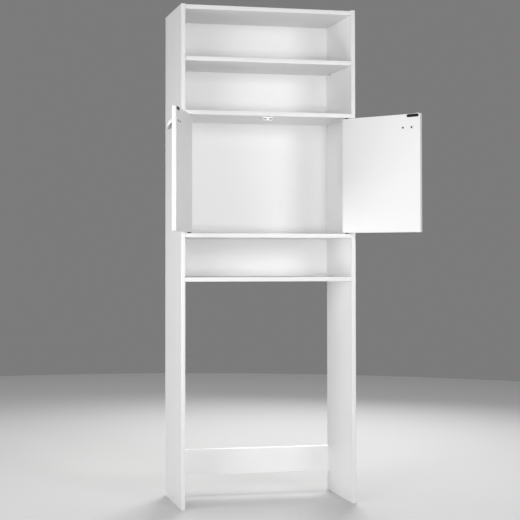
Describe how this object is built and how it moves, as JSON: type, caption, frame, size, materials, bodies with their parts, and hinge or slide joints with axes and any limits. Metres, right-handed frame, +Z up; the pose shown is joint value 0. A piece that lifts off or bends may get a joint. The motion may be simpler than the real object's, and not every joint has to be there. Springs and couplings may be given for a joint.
{
  "type": "washing machine cabinet",
  "caption": "Tall narrow white cabinet that stands over a washing machine, with open shelves, a two-door compartment on pivot hinges, a niche and an open bay below.",
  "frame": {"origin": "on the floor, under the middle of the footprint with the doors open as at rest", "axes": "+Z up, +Y into the cabinet and towards the wall, +X to the right seen from the front"},
  "size_m": [0.9718, 0.5604, 1.9143],
  "materials": {
    "melamine": "satin white melamine facing on particle board",
    "hardboard": "white lacquered thin board",
    "white_plastic": "satin white moulding",
    "black_plastic": "black moulding",
    "black_steel": "blackened",
    "bright_steel": "bright zinc plate",
    "zinc": "dull zinc plate",
    "ferrite": "matt dark grey",
    "beech": "raw fluted beech"
  },
  "bodies": {
    "cabinet": {"left_side_panel": "melamine", "right_side_panel": "melamine", "top_panel": "melamine", "door_compartment_ceiling": "melamine", "door_compartment_floor": "melamine", "machine_bay_ceiling": "melamine", "rear_rail": "melamine", "loose_shelf": "melamine", "back_board": "hardboard", "catch_housing": "white_plastic", "left_top_panel_dowel": "beech", "left_door_compartment_ceiling_dowel": "beech", "left_door_compartment_floor_dowel": "beech", "left_machine_bay_ceiling_dowel": "beech", "left_rear_rail_dowel": "beech", "left_front_shelf_pin": "bright_steel", "left_rear_shelf_pin": "bright_steel", "left_lower_pivot_pin": "bright_steel", "left_lower_pole_plate": "bright_steel", "left_upper_pivot_pin": "bright_steel", "left_upper_pole_plate": "bright_steel", "left_catch_magnet": "ferrite", "left_catch_screw": "bright_steel", "left_wall_bracket": "zinc", "left_wall_bracket_screw_1": "bright_steel", "left_wall_bracket_screw_2": "bright_steel", "right_top_panel_dowel": "beech", "right_door_compartment_ceiling_dowel": "beech", "right_door_compartment_floor_dowel": "beech", "right_machine_bay_ceiling_dowel": "beech", "right_rear_rail_dowel": "beech", "right_front_shelf_pin": "bright_steel", "right_rear_shelf_pin": "bright_steel", "right_lower_pivot_pin": "bright_steel", "right_lower_pole_plate": "bright_steel", "right_upper_pivot_pin": "bright_steel", "right_upper_pole_plate": "bright_steel", "right_catch_magnet": "ferrite", "right_catch_screw": "bright_steel", "right_wall_bracket": "zinc", "right_wall_bracket_screw_1": "bright_steel", "right_wall_bracket_screw_2": "bright_steel"},
    "left_door_leaf": {"left_door": "melamine", "left_pull": "white_plastic", "left_counter_plate": "black_steel", "left_lower_pivot_bush": "black_plastic", "left_upper_pivot_bush": "black_plastic", "left_pull_screw_1": "bright_steel", "left_counter_plate_screw_1": "black_steel", "left_pull_screw_2": "bright_steel", "left_counter_plate_screw_2": "black_steel"},
    "right_door_leaf": {"right_door": "melamine", "right_pull": "white_plastic", "right_counter_plate": "black_steel", "right_lower_pivot_bush": "black_plastic", "right_upper_pivot_bush": "black_plastic", "right_pull_screw_1": "bright_steel", "right_counter_plate_screw_1": "black_steel", "right_pull_screw_2": "bright_steel", "right_counter_plate_screw_2": "black_steel"}
  },
  "joints": [
    {"name": "left_door_hinge", "type": "hinge", "parent": "cabinet", "child": "left_door_leaf", "pos_m": [-0.34525, 0.00768, 1.258], "axis": [0, 0, -1], "range_deg": [-113.5, 18]},
    {"name": "right_door_hinge", "type": "hinge", "parent": "cabinet", "child": "right_door_leaf", "pos_m": [0.27875, 0.00768, 1.258], "axis": [0, 0, 1], "range_deg": [-129.98, 1.5]}
  ]
}
